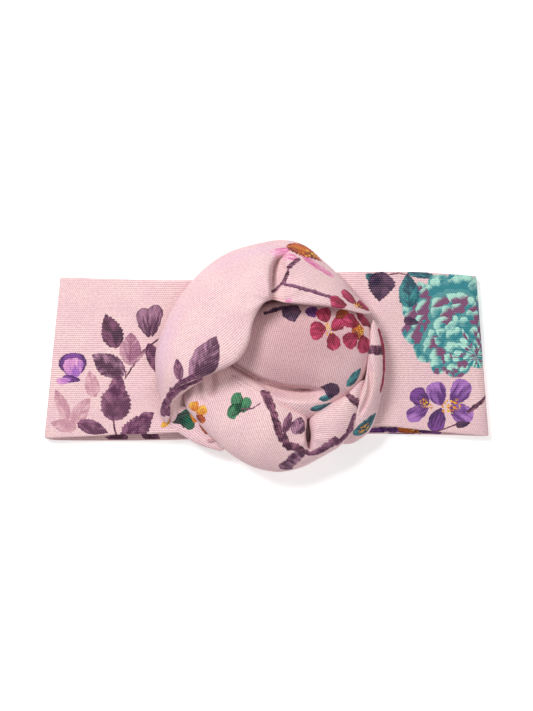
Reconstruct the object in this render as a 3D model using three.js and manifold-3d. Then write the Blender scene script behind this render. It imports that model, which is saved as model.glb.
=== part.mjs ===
// A knotted headband of printed stretch cloth, laid flat. Millimetres, +Z up.
// X runs along the band, +Y is the band's upper edge as it is worn, and the knot faces +Z.
// The origin is under the middle of the object, on the surface that it lies on.
import * as THREE from 'three';
import { mergeVertices } from 'three/addons/utils/BufferGeometryUtils.js';
import Module from 'manifold-3d';

const wasm = await Module();
wasm.setup();

// Driving dimensions.
const CLOTH = 0.8; // one ply of cloth
const GAP = 0.3; // between pieces that touch
const BAND_LOWER_LENGTH = 230; // from fold to fold along the lower edge
const BAND_UPPER_LENGTH = 216; // the same along the upper edge
const BAND_LOWER_Y = -41.5;
const BAND_UPPER_Y = 39.5;
const BAND_THICKNESS = 12; // the flattened loop, both halves and the space between them
const FOLD_STEPS = 12; // facets round each end fold

const PLY = CLOTH + GAP;
const FRONT_TOP = BAND_THICKNESS;
const LINING_FRONT_BOTTOM = FRONT_TOP - PLY - CLOTH;
const LINING_BACK_TOP = PLY + CLOTH;

const PASS_LENGTH = 60; // width of the knot strip where it crosses behind the front half
const PASS_THICKNESS = 1.4;
const PASS_WALL = 3; // how far it stands past the band's edges

const SEAM_WIDTH = 12; // overlocked allowance where the band's two ends are joined
const SEAM_INSET = 1.5; // from the band's edges
const SEAM_THICKNESS = 1;
const THREAD_RADIUS = 0.22;
const THREAD_FACETS = 6; // for each half turn of its round section
const OVERLOCK_PITCH = 3; // along the seam, from one needle hole to the next
const OVERLOCK_REACH = 4; // to each side of the seam's middle
const OVERLOCK_STEPS = 3; // sections between two needle holes

const TACK_LENGTH = 5;
const TACK_X = 18; // each edge of the band has a tack at this distance on both sides of the middle
const TACK_DEPTH = 1.5; // under the band's front face
const TACK_ARCH = 0.2; // rise of its middle
const TACK_STEPS = 6;

const KNOT_BASE = FRONT_TOP + GAP;
const CORE_TOP = 20;
const LOBE_BASE = CORE_TOP + GAP;
const SECTION_STEPS = 12; // facets over the crown of a lobe
const SPINE_STEPS = 14; // sections along a lobe

const PINK = 0xefccce;
const MAUVE = 0xb98aa0;

const group = new THREE.Group();

function addNode(name, geometry, color, roughness = 0.9) {
  const material = new THREE.MeshStandardMaterial({ color, roughness, metalness: 0 });
  const mesh = new THREE.Mesh(geometry, material);
  mesh.name = name;
  group.add(mesh);
  return mesh;
}

function toSolid(geometry) {
  const bare = geometry.clone();
  bare.deleteAttribute('normal');
  bare.deleteAttribute('uv');
  const merged = mergeVertices(bare, 1e-4);
  return new wasm.Manifold(new wasm.Mesh({
    numProp: 3,
    vertProperties: new Float32Array(merged.attributes.position.array),
    triVerts: new Uint32Array(merged.index.array),
  }));
}

function toGeometry(solid) {
  const mesh = solid.getMesh();
  const geometry = new THREE.BufferGeometry();
  geometry.setAttribute('position', new THREE.BufferAttribute(mesh.vertProperties.slice(), 3));
  geometry.setIndex(new THREE.BufferAttribute(mesh.triVerts.slice(), 1));
  geometry.computeVertexNormals();
  return geometry;
}

// Rings of equal length, joined one to the next into a closed skin.
// A looped skin joins the last ring to the first, and an open one is capped by flat ends.
function skin(rings, looped) {
  const count = rings[0].length;
  const points = rings.flat();
  const faces = [];
  const last = looped ? rings.length : rings.length - 1;
  for (let r = 0; r < last; r += 1) {
    const here = r * count;
    const next = ((r + 1) % rings.length) * count;
    for (let i = 0; i < count; i += 1) {
      const j = (i + 1) % count;
      faces.push(here + i, next + i, next + j, here + i, next + j, here + j);
    }
  }
  if (!looped) {
    const end = (rings.length - 1) * count;
    for (let i = 1; i < count - 1; i += 1) {
      faces.push(0, i, i + 1);
      faces.push(end, end + i + 1, end + i);
    }
  }
  const geometry = new THREE.BufferGeometry();
  geometry.setAttribute('position', new THREE.Float32BufferAttribute(points.flat(), 3));
  geometry.setIndex(faces);
  geometry.computeVertexNormals();
  return geometry;
}

// One ply of the band: a closed loop, flattened, with a round fold at each end.
// It lies the given distance inside the band's outer face, and is narrower at the upper edge.
function bandPly(inset) {
  const outer = BAND_THICKNESS / 2 - inset;
  const middle = BAND_THICKNESS / 2;
  const corners = [
    { radius: outer - CLOTH, y: BAND_LOWER_Y, length: BAND_LOWER_LENGTH },
    { radius: outer - CLOTH, y: BAND_UPPER_Y, length: BAND_UPPER_LENGTH },
    { radius: outer, y: BAND_UPPER_Y, length: BAND_UPPER_LENGTH },
    { radius: outer, y: BAND_LOWER_Y, length: BAND_LOWER_LENGTH },
  ];
  const rings = [];
  for (const side of [1, -1]) {
    for (let i = 0; i <= FOLD_STEPS; i += 1) {
      const angle = side * Math.PI * (i / FOLD_STEPS - 0.5);
      rings.push(corners.map(({ radius, y, length }) => [
        side * (length / 2 - middle + radius * Math.cos(angle)),
        y,
        middle + radius * Math.sin(angle),
      ]));
    }
  }
  return skin(rings, true);
}

// The knot strip's pass behind the band's front half, with a short upright past each edge.
function innerPass() {
  const low = BAND_LOWER_Y - GAP;
  const high = BAND_UPPER_Y + GAP;
  const top = LINING_FRONT_BOTTOM - GAP;
  const bottom = top - PASS_THICKNESS;
  const outline = new THREE.Shape([
    [low - PASS_WALL, bottom], [high + PASS_WALL, bottom], [high + PASS_WALL, FRONT_TOP],
    [high, FRONT_TOP], [high, top], [low, top], [low, FRONT_TOP], [low - PASS_WALL, FRONT_TOP],
  ].map(([y, z]) => new THREE.Vector2(y, z)));
  const geometry = new THREE.ExtrudeGeometry(outline, { depth: PASS_LENGTH, bevelEnabled: false });
  geometry.applyMatrix4(new THREE.Matrix4().makeBasis(
    new THREE.Vector3(0, 1, 0), new THREE.Vector3(0, 0, 1), new THREE.Vector3(1, 0, 0),
  ));
  geometry.translate(-PASS_LENGTH / 2, 0, 0);
  return geometry;
}

function seamAllowance() {
  const length = BAND_UPPER_Y - BAND_LOWER_Y - 2 * SEAM_INSET;
  const geometry = new THREE.BoxGeometry(SEAM_WIDTH, length, SEAM_THICKNESS);
  geometry.translate(
    0,
    (BAND_UPPER_Y + BAND_LOWER_Y) / 2,
    LINING_BACK_TOP + GAP + SEAM_THICKNESS / 2,
  );
  return geometry;
}

// A thread along a list of points, as a tube with flat ends.
function thread(points, steps) {
  const section = new THREE.Shape();
  section.absarc(0, 0, THREAD_RADIUS, 0, 2 * Math.PI);
  return new THREE.ExtrudeGeometry(section, {
    steps,
    curveSegments: THREAD_FACETS,
    bevelEnabled: false,
    extrudePath: new THREE.CatmullRomCurve3(points.map((p) => new THREE.Vector3(...p))),
  });
}

// The overlock stitch: one thread zigzagging over the seam allowance.
function overlockThread() {
  const z = LINING_BACK_TOP + 2 * GAP + SEAM_THICKNESS + THREAD_RADIUS;
  const start = BAND_LOWER_Y + 2 * SEAM_INSET;
  const turns = Math.floor((BAND_UPPER_Y - BAND_LOWER_Y - 4 * SEAM_INSET) / OVERLOCK_PITCH);
  const points = [];
  for (let i = 0; i <= turns; i += 1) {
    points.push([i % 2 ? OVERLOCK_REACH : -OVERLOCK_REACH, start + i * OVERLOCK_PITCH, z]);
  }
  return thread(points, OVERLOCK_STEPS * turns);
}

// A tack: one short stitch that holds the knot strip's pass to the band's edge.
function tack(x, side) {
  const edge = side > 0 ? BAND_UPPER_Y + GAP + PASS_WALL : BAND_LOWER_Y - GAP - PASS_WALL;
  const y = edge + side * (GAP + THREAD_RADIUS);
  const z = FRONT_TOP - TACK_DEPTH;
  const half = TACK_LENGTH / 2;
  return thread([[x - half, y, z], [x, y, z + TACK_ARCH], [x + half, y, z]], TACK_STEPS);
}

// A lobe of the knot: a puffed fold of cloth with a flat underside, lofted along a spine.
// Each station is [x, y, half width, height of the crown].
function lobe(stations, base, grow = 0) {
  const spine = new THREE.CatmullRomCurve3(stations.map(([x, y]) => new THREE.Vector3(x, y, 0)));
  const sizes = new THREE.CatmullRomCurve3(
    stations.map(([, , half, crown]) => new THREE.Vector3(half, crown, 0)),
  );
  const rings = [];
  for (let s = 0; s <= SPINE_STEPS; s += 1) {
    const t = s / SPINE_STEPS;
    const centre = spine.getPoint(t);
    const along = spine.getTangent(t);
    const size = sizes.getPoint(t);
    const ring = [];
    for (let i = 0; i <= SECTION_STEPS; i += 1) {
      const angle = Math.PI * i / SECTION_STEPS;
      const out = (size.x + grow) * Math.cos(angle);
      ring.push([
        centre.x + out * along.y,
        centre.y - out * along.x,
        base - grow + (size.y - base + 2 * grow) * Math.sin(angle),
      ]);
    }
    rings.push(ring);
  }
  // The ends are drawn out by the growth, so that a cut clears them too.
  for (const [ring, t, way] of [[rings[0], 0, -1], [rings[SPINE_STEPS], 1, 1]]) {
    const along = spine.getTangent(t);
    for (const point of ring) {
      point[0] += way * grow * along.x;
      point[1] += way * grow * along.y;
    }
  }
  return skin(rings, false);
}

// The knot's lobes, from the ones that lie on top to the ones tucked under them.
const LOBES = {
  knot_upper_lobe: {
    base: KNOT_BASE,
    stations: [
      [4, 45, 13, 36], [14, 43, 16, 42], [27, 37.5, 14.5, 42], [40, 31, 10, 36], [53, 22, 3.5, 28],
    ],
  },
  knot_left_wrap: {
    base: KNOT_BASE,
    stations: [
      [-50, -31, 6, 24], [-45, -15, 13, 31], [-34, 7, 22, 42], [-19, 27, 25, 47], [-6, 38, 21, 43],
      [4, 45, 14, 34],
    ],
  },
  knot_centre_dome: {
    base: LOBE_BASE,
    stations: [[-16, 2, 8, 28], [-3, 5, 20, 34], [14, 5, 26, 37], [32, 3, 28, 36], [50, -4, 16, 29]],
  },
  knot_lower_loop: {
    base: KNOT_BASE,
    stations: [
      [-42, -21, 7, 20], [-28, -24, 20, 29], [-9, -34, 25.5, 34], [8, -39, 20.5, 33], [20, -44, 14, 26],
    ],
  },
  knot_right_inner_fold: {
    base: KNOT_BASE,
    stations: [[22, -44, 11, 24], [33, -37, 13, 31], [45, -24, 12, 31], [52, -6, 7, 28]],
  },
  knot_right_outer_loop: {
    base: KNOT_BASE,
    stations: [[40, -46, 5, 18], [51, -35, 8, 24], [56, -16, 5, 27], [56, 4, 4.5, 26], [54, 17, 3.5, 20]],
  },
  knot_tail: {
    base: KNOT_BASE,
    stations: [[-49, -35, 6, 16], [-36, -40, 7, 17], [-22, -47, 5, 15]],
  },
};

// The rolled cloth under the dome, gathered round the band's front half.
const CORE_STATIONS = [
  [-24, 6, 12, CORE_TOP], [-4, 6, 22, CORE_TOP], [18, 4, 26, CORE_TOP], [42, 0, 18, CORE_TOP],
];

function addKnot() {
  let above = null;
  const place = (name, stations, base) => {
    let solid = toSolid(lobe(stations, base));
    if (above) solid = solid.subtract(above);
    addNode(name, toGeometry(solid), PINK);
    const grown = toSolid(lobe(stations, base, GAP));
    above = above ? above.add(grown) : grown;
  };
  for (const [name, { stations, base }] of Object.entries(LOBES)) place(name, stations, base);
  place('knot_core_roll', CORE_STATIONS, KNOT_BASE);
}

addNode('band_outer_ply', bandPly(0), PINK);
addNode('band_lining_ply', bandPly(PLY), PINK);
addNode('back_seam_allowance', seamAllowance(), PINK);
addNode('back_seam_overlock_thread', overlockThread(), MAUVE);
addNode('knot_inner_pass', innerPass(), PINK);
addKnot();
let tackCount = 0;
for (const side of [1, -1]) {
  for (const x of [-TACK_X, TACK_X]) {
    tackCount += 1;
    addNode(`tack_stitch_${tackCount}`, tack(x, side), MAUVE);
  }
}

export default group;
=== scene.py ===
"""A knotted headband of printed stretch cloth, lying flat and seen from straight above."""
import math

import bmesh
import bpy
import numpy as np
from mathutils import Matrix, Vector


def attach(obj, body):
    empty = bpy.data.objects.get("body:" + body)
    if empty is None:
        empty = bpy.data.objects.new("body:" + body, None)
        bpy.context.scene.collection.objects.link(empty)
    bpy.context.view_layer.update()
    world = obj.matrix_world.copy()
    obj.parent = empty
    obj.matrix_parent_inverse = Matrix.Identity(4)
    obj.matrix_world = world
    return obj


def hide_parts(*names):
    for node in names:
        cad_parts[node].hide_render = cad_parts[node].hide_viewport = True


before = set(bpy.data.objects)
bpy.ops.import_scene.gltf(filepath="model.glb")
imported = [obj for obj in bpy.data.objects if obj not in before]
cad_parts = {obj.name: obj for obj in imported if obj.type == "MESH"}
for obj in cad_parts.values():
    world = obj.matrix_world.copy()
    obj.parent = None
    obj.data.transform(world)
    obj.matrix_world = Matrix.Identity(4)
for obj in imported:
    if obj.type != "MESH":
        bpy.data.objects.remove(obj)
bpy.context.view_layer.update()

MM = 0.001
CLOTH_MAP = "cloth"  # UV map that holds each point's place on the flat cloth, in millimetres

# ---------------------------------------------------------------------------
# Node trees, written as arithmetic


class Wire:
    """A value in a node tree. Arithmetic on wires adds Math nodes to the tree."""

    def __init__(self, tree, socket):
        self.tree = tree
        self.socket = socket

    def math(self, operation, *others):
        node = self.tree.nodes.new("ShaderNodeMath")
        node.operation = operation
        for slot, value in zip(node.inputs, (self, *others)):
            feed(self.tree, slot, value)
        return Wire(self.tree, node.outputs[0])

    def __add__(self, other):
        return self.math("ADD", other)

    def __radd__(self, other):
        return self.math("ADD", other)

    def __sub__(self, other):
        return self.math("SUBTRACT", other)

    def __rsub__(self, other):
        return (self * -1.0) + other

    def __mul__(self, other):
        return self.math("MULTIPLY", other)

    def __rmul__(self, other):
        return self.math("MULTIPLY", other)

    def __truediv__(self, other):
        return self.math("DIVIDE", other)

    def power(self, exponent):
        return self.math("POWER", exponent)

    def wave(self):
        return self.math("SINE")

    def size(self):
        return self.math("ABSOLUTE")

    def fraction(self):
        return self.math("FRACT")

    def floor(self):
        return self.math("FLOOR")

    def at_least(self, low):
        return self.math("MAXIMUM", low)

    def at_most(self, high):
        return self.math("MINIMUM", high)

    def rise(self, start, end):
        """0 below start, 1 above end, and a smooth step between."""
        node = self.tree.nodes.new("ShaderNodeMapRange")
        node.interpolation_type = "SMOOTHSTEP"
        feed(self.tree, node.inputs["Value"], self)
        feed(self.tree, node.inputs["From Min"], start)
        feed(self.tree, node.inputs["From Max"], end)
        return Wire(self.tree, node.outputs["Result"])


def feed(tree, slot, value):
    if isinstance(value, Wire):
        tree.links.new(value.socket, slot)
    else:
        slot.default_value = value


def parts(vector):
    """The x, y and z wires of a vector wire."""
    node = vector.tree.nodes.new("ShaderNodeSeparateXYZ")
    feed(vector.tree, node.inputs[0], vector)
    return [Wire(vector.tree, output) for output in node.outputs]


def vector(tree, x, y, z=0.0):
    node = tree.nodes.new("ShaderNodeCombineXYZ")
    for slot, value in zip(node.inputs, (x, y, z)):
        feed(tree, slot, value)
    return Wire(tree, node.outputs[0])


def noise(place, scale, detail=2.0):
    """Soft noise round 0.5, with scale in cycles per unit of place."""
    node = place.tree.nodes.new("ShaderNodeTexNoise")
    feed(place.tree, node.inputs["Vector"], place)
    node.inputs["Scale"].default_value = scale
    node.inputs["Detail"].default_value = detail
    return Wire(place.tree, node.outputs["Factor" if "Factor" in node.outputs else "Fac"])


def mix(factor, first, second, kind="MIX"):
    """A blend of two colours, by factor."""
    tree = factor.tree
    node = tree.nodes.new("ShaderNodeMix")
    node.data_type = "RGBA"
    node.blend_type = kind
    feed(tree, node.inputs[0], factor)
    feed(tree, node.inputs[6], first)
    feed(tree, node.inputs[7], second)
    return Wire(tree, node.outputs[2])


def turned(place, centre=(0, 0), angle=0.0, scale=1.0, stretch=1.0):
    """place as seen from a motif's own axes: moved to its centre, turned and scaled."""
    node = place.tree.nodes.new("ShaderNodeMapping")
    node.vector_type = "TEXTURE"
    feed(place.tree, node.inputs["Vector"], place)
    node.inputs["Location"].default_value = (*centre, 0)
    node.inputs["Rotation"].default_value = (0, 0, math.radians(angle))
    node.inputs["Scale"].default_value = (scale, scale * stretch, 1)
    return Wire(place.tree, node.outputs[0])


def new_group(name, inputs, outputs):
    """An empty node group, and its input wires by name."""
    tree = bpy.data.node_groups.new(name, "ShaderNodeTree")
    kinds = {"vector": "NodeSocketVector", "colour": "NodeSocketColor", "number": "NodeSocketFloat"}
    for direction, sockets in (("INPUT", inputs), ("OUTPUT", outputs)):
        for socket, kind in sockets.items():
            tree.interface.new_socket(socket, in_out=direction, socket_type=kinds[kind])
    node = tree.nodes.new("NodeGroupInput")
    return tree, {socket: Wire(tree, node.outputs[socket]) for socket in inputs}


def close_group(tree, **results):
    node = tree.nodes.new("NodeGroupOutput")
    for socket, value in results.items():
        feed(tree, node.inputs[socket], value)
    return tree


# ---------------------------------------------------------------------------
# The print: painted leaves, petals and twigs, and soft washes, which on the dome are painted shade. Each motif is a
# node group on a square from -1 to 1.

MOTIF_INPUTS = {
    "place": "vector", "dark": "colour", "light": "colour", "third": "colour",
    "shape": "number", "seed": "number",
}
MOTIF_OUTPUTS = {"colour": "colour", "mask": "number"}


def brushed(x, y, seed, along, across):
    """Streaks of paint, longer along x than across it when along is smaller than across."""
    return noise(vector(x.tree, x * along + seed, y * across, seed), 1.0, 4.0)


def cells(place, randomness):
    """Scattered cells: the distance to the nearest centre, a random number, and the centre."""
    node = place.tree.nodes.new("ShaderNodeTexVoronoi")
    node.voronoi_dimensions = "2D"
    feed(place.tree, node.inputs["Vector"], place)
    node.inputs["Scale"].default_value = 1.0
    node.inputs["Randomness"].default_value = randomness
    distance, colour, centre = (Wire(place.tree, node.outputs[k]) for k in ("Distance", "Color", "Position"))
    return distance, parts(colour)[0], centre


def leaf_motif():
    """A leaf along x, its stalk at -1 and its tip at 1. shape is the depth of its teeth."""
    tree, given = new_group("leaf", MOTIF_INPUTS, MOTIF_OUTPUTS)
    x, y, _ = parts(given["place"])
    side = y.size()
    outline = (x + 1.0).at_least(0.0).power(0.55) * (1.0 - x).at_least(0.0).power(0.85) * 0.97
    teeth = ((x * 5.0 - side * 0.6).fraction() - 0.5).size() * given["shape"]
    lopsided = noise(vector(tree, x * 1.5 + given["seed"], given["seed"], 0.0), 1.0) - 0.5
    inside = outline * (lopsided * y.rise(-0.3, 0.3) * 0.6 + 1.0) - teeth * outline.rise(0.0, 0.4) - side
    mask = inside.rise(0.0, 0.08)
    wash = brushed(x - side * 0.7, y, given["seed"], 2.4, 1.2)
    blot = brushed(x, y, given["seed"] + 7.0, 1.3, 1.0)
    tone = ((wash - 0.5) * 2.8 + (blot - 0.5) * 2.6 + y * 0.3 + 0.4).rise(0.0, 1.0)
    colour = mix(tone, given["dark"], given["light"])
    vein = (((x - side * 0.75) * 3.6).fraction() - 0.5).size().rise(0.4, 0.5)
    colour = mix(vein * 0.3, colour, given["third"])
    colour = mix((1.0 - side.rise(0.02, 0.09)) * 0.6, colour, given["third"])
    colour = mix((1.0 - inside.rise(0.0, 0.3)) * 0.4, colour, given["dark"])
    return close_group(tree, colour=colour, mask=mask)


def petal_motif():
    """A petal along x, narrow at -1 and round at 1. shape is how dark its rim is."""
    tree, given = new_group("petal", MOTIF_INPUTS, MOTIF_OUTPUTS)
    x, y, _ = parts(given["place"])
    wave = noise(vector(tree, x * 1.6 + given["seed"], y * 1.6, given["seed"]), 1.0) - 0.5
    outline = (x + 1.0).at_least(0.0).power(0.75) * (1.0 - x).at_least(0.0).power(0.42) * 0.95
    inside = outline * (wave * 0.45 + 1.0) - y.size()
    mask = inside.rise(0.0, 0.1)
    streaks = brushed(x, y, given["seed"], 0.9, 3.4)
    tone = (x * 0.4 + y * 0.15 + (streaks - 0.5) * 2.6 + 0.42).rise(0.0, 1.0)
    colour = mix(tone, given["dark"], given["light"])
    glow = ((streaks - 0.5) * 3.0 + x * 0.5).rise(0.35, 0.9)
    colour = mix(glow * 0.6, colour, given["third"])
    rim = 1.0 - inside.rise(0.02, 0.4)
    colour = mix(rim * given["shape"], colour, given["dark"])
    return close_group(tree, colour=colour, mask=mask)


def stamen_motif():
    """A scatter of short strokes inside a circle. shape is how many strokes fit along its radius."""
    tree, given = new_group("stamens", MOTIF_INPUTS, MOTIF_OUTPUTS)
    x, y, _ = parts(given["place"])
    radius = (x * x + y * y).power(0.5)
    spread = vector(tree, x * given["shape"] + given["seed"], y * given["shape"] * 0.62)
    distance, chance, _ = cells(spread, 1.0)
    mask = (0.42 - distance).rise(0.0, 0.1) * (1.0 - radius.rise(0.75, 1.0))
    colour = mix(chance.rise(0.35, 0.65), given["dark"], given["light"])
    return close_group(tree, colour=colour, mask=mask)


def bloom_motif():
    """A big flower head of many petals, which spread from a point near its lower right. shape is their number."""
    tree, given = new_group("bloom", MOTIF_INPUTS, MOTIF_OUTPUTS)
    x, y, _ = parts(given["place"])
    drift = noise(vector(tree, x, y, given["seed"]), 1.6, 3.0) - 0.5
    angle = y.math("ARCTAN2", x) + drift * 0.6
    scallop = (angle * 6.5).math("COSINE").size().power(0.6)
    inside = scallop * 0.13 + 0.84 + drift * 0.3 - (x * x + y * y).power(0.5)
    mask = inside.rise(0.0, 0.03)

    east, north = x - 0.4, y + 0.6
    radius = (east * east + north * north).power(0.5) + drift * 0.3
    heading = (east + north * 0.5).math("ARCTAN2", north * -1.0 + east * 0.5) + drift * 0.7
    polar = vector(tree, heading * 4.2, radius * given["shape"])
    distance, chance, centre = cells(polar, 0.9)
    across, out, _ = parts(centre)
    outward = radius * given["shape"] - out
    paint = brushed(x, y, given["seed"] + 3.0, 6.0, 6.0) - 0.5
    tone = (outward * 1.3 + paint * 2.4 + chance * 0.4 + 0.42).rise(0.0, 1.0)
    colour = mix(tone, given["dark"], given["light"])
    colour = mix(distance.rise(0.46, 0.56) * 0.85, colour, given["dark"])
    hollow = (drift * 2.6 + chance * 0.5 + paint * 0.3).rise(0.42, 0.45) * (outward * -1.0).rise(-0.3, 0.05)
    colour = mix(hollow, colour, given["third"])
    return close_group(tree, colour=colour, mask=mask)


def twig_motif():
    """A brush stroke along x. shape is its bend."""
    tree, given = new_group("twig", MOTIF_INPUTS, MOTIF_OUTPUTS)
    x, y, _ = parts(given["place"])
    wobble = noise(vector(tree, x * 2.2 + given["seed"], given["seed"], 0.0), 1.0, 3.0) - 0.5
    off = y - (1.0 - x * x) * given["shape"] - wobble * 0.5
    half = (wobble * 0.9 + 0.88) * (1.0 - x.size().power(10.0)).at_least(0.0).power(0.5)
    mask = (half - off.size()).rise(0.0, 0.25)
    wash = brushed(x, y, given["seed"], 2.4, 0.8)
    tone = ((wash - 0.5) * 3.0 + off * 0.35 + 0.42).rise(0.0, 1.0)
    colour = mix(tone, given["dark"], given["light"])
    return close_group(tree, colour=colour, mask=mask)


def wash_motif():
    """A soft patch of colour with no edge: a lilac tint on the wrap, and painted shade on the dome. shape is its
    strength.
    """
    tree, given = new_group("wash", MOTIF_INPUTS, MOTIF_OUTPUTS)
    x, y, _ = parts(given["place"])
    radius = (x * x + y * y).power(0.5)
    blot = brushed(x, y, given["seed"], 1.5, 1.5) - 0.5
    colour = mix(radius.at_most(1.0), given["dark"], given["light"])
    return close_group(tree, colour=colour, mask=(1.0 - (radius + blot * 0.6).rise(0.1, 1.0)) * given["shape"])


MOTIFS = {
    "leaf": leaf_motif(), "petal": petal_motif(), "stamens": stamen_motif(),
    "bloom": bloom_motif(), "twig": twig_motif(), "wash": wash_motif(),
}


def ink(red, green, blue):
    """A linear colour from the three numbers of a paint swatch, 0 to 255."""
    return (*[(channel / 255) ** 2.2 for channel in (red, green, blue)], 1)


# Dark, light and accent inks of each kind of motif.
DEEP_PLUM = (ink(66, 34, 58), ink(128, 76, 108), ink(54, 26, 48))
PLUM = (ink(92, 48, 80), ink(158, 104, 134), ink(80, 42, 72))
SHADED_PLUM = (ink(78, 40, 70), ink(182, 134, 162), ink(72, 36, 62))
MAUVE = (ink(160, 106, 134), ink(214, 168, 180), ink(128, 72, 100))
BARK = (ink(70, 34, 58), ink(150, 96, 120), ink(90, 50, 76))
FAINT = (ink(202, 150, 164), ink(232, 188, 194), ink(190, 138, 158))
VIOLET_DARK = (ink(66, 28, 92), ink(132, 74, 160), ink(112, 58, 142))
VIOLET = (ink(92, 44, 122), ink(178, 122, 204), ink(190, 140, 212))
LILAC = (ink(168, 110, 196), ink(236, 168, 214), ink(246, 190, 222))
TEAL = (ink(22, 82, 98), ink(70, 158, 160), ink(34, 60, 84))
NAVY = (ink(50, 30, 62), ink(98, 66, 96), ink(44, 26, 56))
AQUA = (ink(26, 138, 148), ink(178, 240, 220), ink(128, 78, 116))
CRIMSON = (ink(122, 20, 46), ink(202, 60, 104), ink(226, 108, 152))
PINK = (ink(222, 112, 166), ink(252, 200, 222), ink(255, 222, 234))
RUST = (ink(120, 34, 40), ink(206, 104, 34), ink(236, 160, 48))
GOLD = (ink(214, 118, 30), ink(246, 196, 72), ink(250, 214, 110))
GREEN = (ink(14, 70, 48), ink(70, 152, 104), ink(26, 96, 66))
# Painted shade, not print inks: a darker rose over the whole dome, and a deeper one towards its lower fold.
DOME_PAINTED_SHADE = (ink(207, 166, 170), ink(214, 174, 178), ink(207, 166, 170))
DOME_FOLD_PAINTED_SHADE = (ink(190, 144, 150), ink(198, 152, 158), ink(190, 144, 150))
# A green of the print, darkened with painted shade for the leaves that lie in the wrap's pocket.
GREEN_WITH_PAINTED_SHADE = (ink(18, 44, 42), ink(24, 106, 76), ink(16, 62, 50))
LILAC_WASH = (ink(232, 196, 226), ink(240, 204, 222), ink(240, 204, 222))


def stroke(points, width, inks):
    """A line of brush strokes from point to point."""
    strokes = []
    for (x1, y1), (x2, y2) in zip(points, points[1:]):
        length = math.hypot(x2 - x1, y2 - y1) + width
        angle = math.degrees(math.atan2(y2 - y1, x2 - x1))
        strokes.append(("twig", ((x1 + x2) / 2, (y1 + y2) / 2), angle, length, width, 0.0, inks))
    return strokes


# ---------------------------------------------------------------------------
# The cloth

ROW_PITCH = 1.04  # from one row of stitches to the next
STITCH_PITCH = 1.0  # along a row
STITCH_HEIGHT = 0.00016
BLEED = 0.7  # how far the paint's edges wander
BLEED_BELOW = 0.02
GROUND = ink(244, 211, 211)
GROUND_COOL = ink(238, 203, 208)


def stitches(place, angle):
    """The height of the knit, 0 to 1: rows of small round stitches, each row shifted by half."""
    x, y, _ = parts(turned(place, angle=angle))
    row = y * (1 / ROW_PITCH)
    shift = row.floor() * 0.5
    across = (row.fraction() * math.pi).wave()
    along = (((x * (1 / STITCH_PITCH)) + shift).fraction() * math.pi).wave()
    return across.power(0.7) * (along.power(0.6) * 0.55 + 0.45)


def cloth_material(name, motifs, row_angle=0.0, repeat=None):
    """Printed knit, with painted shade in the gaps between stitches and a painted highlight on their tops. motifs is a
    list of (kind, centre, angle, length, width, shape, three inks), in millimetres; a wash among them can be painted
    shade.

    repeat is the length after which the print starts again along the cloth.
    """
    material = bpy.data.materials.new(name)
    material.use_nodes = True
    tree = material.node_tree
    shader = tree.nodes["Principled BSDF"]
    uv = tree.nodes.new("ShaderNodeUVMap")
    uv.uv_map = CLOTH_MAP
    place = Wire(tree, uv.outputs[0])

    x, y, _ = parts(place)
    if repeat:
        x = x.math("WRAP", repeat / 2, -repeat / 2)
    wander = BLEED * 2
    bleed_x = (noise(place, 0.55, 3.0) - 0.5) * wander
    bleed_y = (noise(turned(place, (71, 43)), 0.55, 3.0) - 0.5) * wander
    painted_x, painted_y = x + bleed_x, y + bleed_y

    mottle = noise(place, 0.07, 3.0)
    colour = mix(mottle.rise(0.35, 0.65), GROUND, GROUND_COOL)
    for seed, (kind, centre, angle, length, width, shape, inks) in enumerate(motifs):
        node = tree.nodes.new("ShaderNodeGroup")
        node.node_tree = MOTIFS[kind]
        # The paint runs a little with the colour below. This also has the motifs worked out one by one,
        # because a shader that holds them all at once is too big.
        below, _, _ = parts(colour)
        painted = vector(tree, painted_x + below * BLEED_BELOW, painted_y)
        feed(tree, node.inputs["place"], turned(painted, centre, angle, length / 2, width / length))
        for slot, value in zip(("dark", "light", "third"), inks):
            node.inputs[slot].default_value = value
        node.inputs["shape"].default_value = shape
        node.inputs["seed"].default_value = 1.7 * seed
        colour = mix(Wire(tree, node.outputs["mask"]) * 0.97, colour, Wire(tree, node.outputs["colour"]))

    knit = stitches(place, row_angle)
    fuzz = noise(place, 2.3, 2.0)
    tuft = noise(place, 0.8, 2.0) - 0.5
    # Painted shade in the gaps between the stitches.
    gap = ((1.0 - knit) * 1.2 + tuft * 0.9 - 0.1).at_least(0.0).at_most(1.0)
    shade = mix(0.62 + fuzz * 0.1, colour, ink(150, 92, 104), "MULTIPLY")
    colour = mix(gap * 0.9, colour, shade)
    # A painted highlight on the tops of the stitches.
    colour = mix(knit.rise(0.75, 1.0) * 0.08, colour, (1, 0.94, 0.93, 1))
    feed(tree, shader.inputs["Base Color"], colour)
    feed(tree, shader.inputs["Roughness"], 0.72 + fuzz * 0.2)

    bump = tree.nodes.new("ShaderNodeBump")
    bump.inputs["Strength"].default_value = 0.8
    bump.inputs["Distance"].default_value = STITCH_HEIGHT
    feed(tree, bump.inputs["Height"], knit + fuzz * 0.25)
    feed(tree, shader.inputs["Normal"], Wire(tree, bump.outputs[0]))
    shader.inputs["Sheen Weight"].default_value = 0.05
    shader.inputs["Sheen Roughness"].default_value = 0.45
    shader.inputs["Sheen Tint"].default_value = (0.93, 0.86, 1.0, 1)
    shader.inputs["Specular IOR Level"].default_value = 0.16
    return material


# ---------------------------------------------------------------------------
# Curves and folds, in millimetres


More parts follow.
